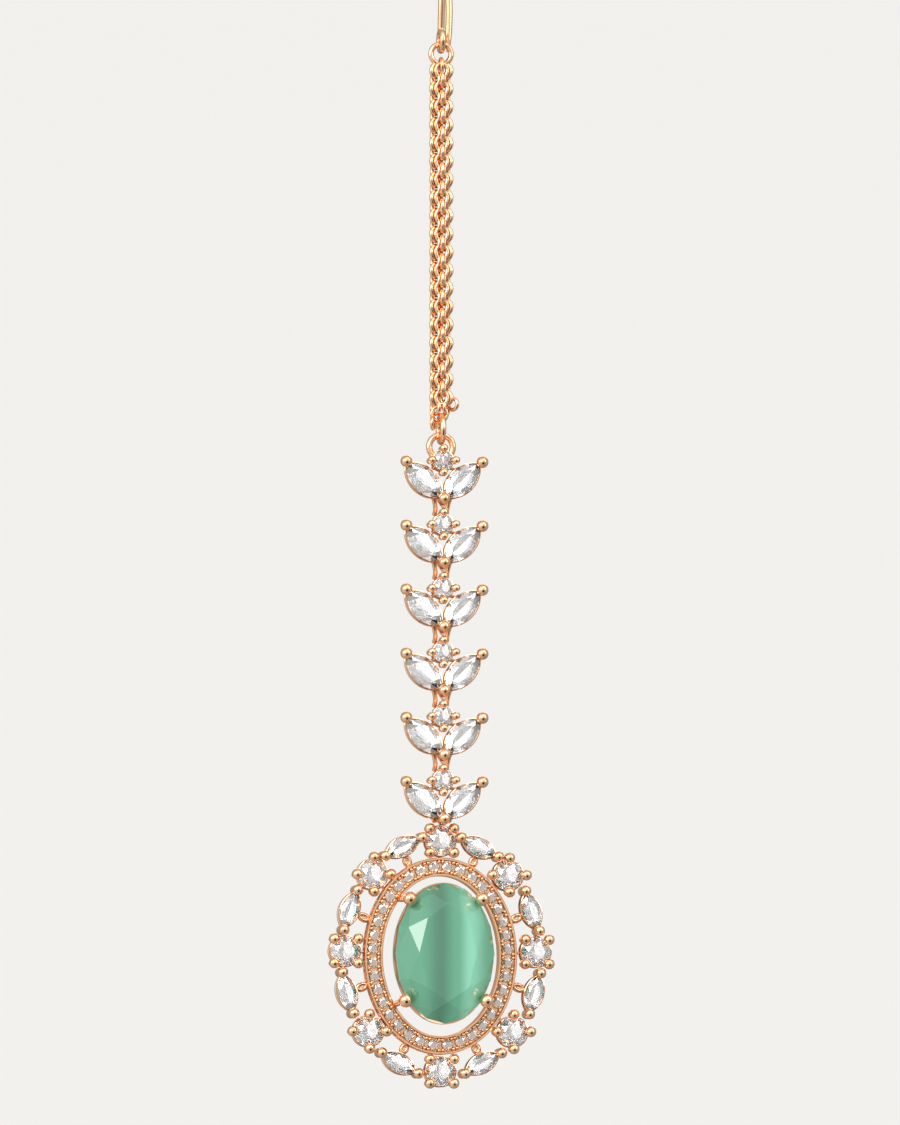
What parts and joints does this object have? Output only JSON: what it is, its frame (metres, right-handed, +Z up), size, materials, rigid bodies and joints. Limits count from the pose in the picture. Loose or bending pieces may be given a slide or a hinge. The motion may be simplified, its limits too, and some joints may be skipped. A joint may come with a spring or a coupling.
{
  "type": "maang tikka",
  "caption": "Forehead jewel: wire hook, chain, stem of leaf links with clear stones and an oval halo pendant with a green centre stone.",
  "frame": {"origin": "inside top of the hook's bend, where the jewel hangs", "axes": "+Z up along the hanging jewel, -Y out of its face, +X to the viewer's right"},
  "size_m": [0.0228, 0.0064, 0.1244],
  "materials": {
    "rose_gold": "polished rose gold plate over brass",
    "clear_stone": "colourless cut stones, high polish",
    "green_stone": "milky sea-green cut stone, polished"
  },
  "bodies": {
    "suspension": {"hook": "rose_gold", "top_ring": "rose_gold", "chain": "rose_gold", "jump_ring": "rose_gold", "leaf_unit_1": "rose_gold", "stem_round_1": "clear_stone", "leaf_stone_left_1": "clear_stone", "leaf_stone_right_1": "clear_stone", "leaf_unit_2": "rose_gold", "stem_round_2": "clear_stone", "leaf_stone_left_2": "clear_stone", "leaf_stone_right_2": "clear_stone", "leaf_unit_3": "rose_gold", "stem_round_3": "clear_stone", "leaf_stone_left_3": "clear_stone", "leaf_stone_right_3": "clear_stone", "leaf_unit_4": "rose_gold", "stem_round_4": "clear_stone", "leaf_stone_left_4": "clear_stone", "leaf_stone_right_4": "clear_stone", "leaf_unit_5": "rose_gold", "stem_round_5": "clear_stone", "leaf_stone_left_5": "clear_stone", "leaf_stone_right_5": "clear_stone", "leaf_unit_6": "rose_gold", "stem_round_6": "clear_stone", "leaf_stone_left_6": "clear_stone", "leaf_stone_right_6": "clear_stone"},
    "pendant": {"pendant_frame": "rose_gold", "halo_round_1": "clear_stone", "halo_leaf_1": "clear_stone", "halo_round_2": "clear_stone", "halo_leaf_2": "clear_stone", "halo_round_3": "clear_stone", "halo_leaf_3": "clear_stone", "halo_round_4": "clear_stone", "halo_leaf_4": "clear_stone", "halo_round_5": "clear_stone", "halo_leaf_5": "clear_stone", "halo_round_6": "clear_stone", "halo_leaf_6": "clear_stone", "halo_round_7": "clear_stone", "halo_leaf_7": "clear_stone", "halo_round_8": "clear_stone", "halo_leaf_8": "clear_stone", "main_stone": "green_stone"}
  },
  "joints": [
    {"name": "pendant_swing", "type": "hinge", "parent": "suspension", "child": "pendant", "pos_m": [0, 0.00035, -0.09715], "axis": [1, 0, 0], "range_deg": [-10, 60]}
  ]
}
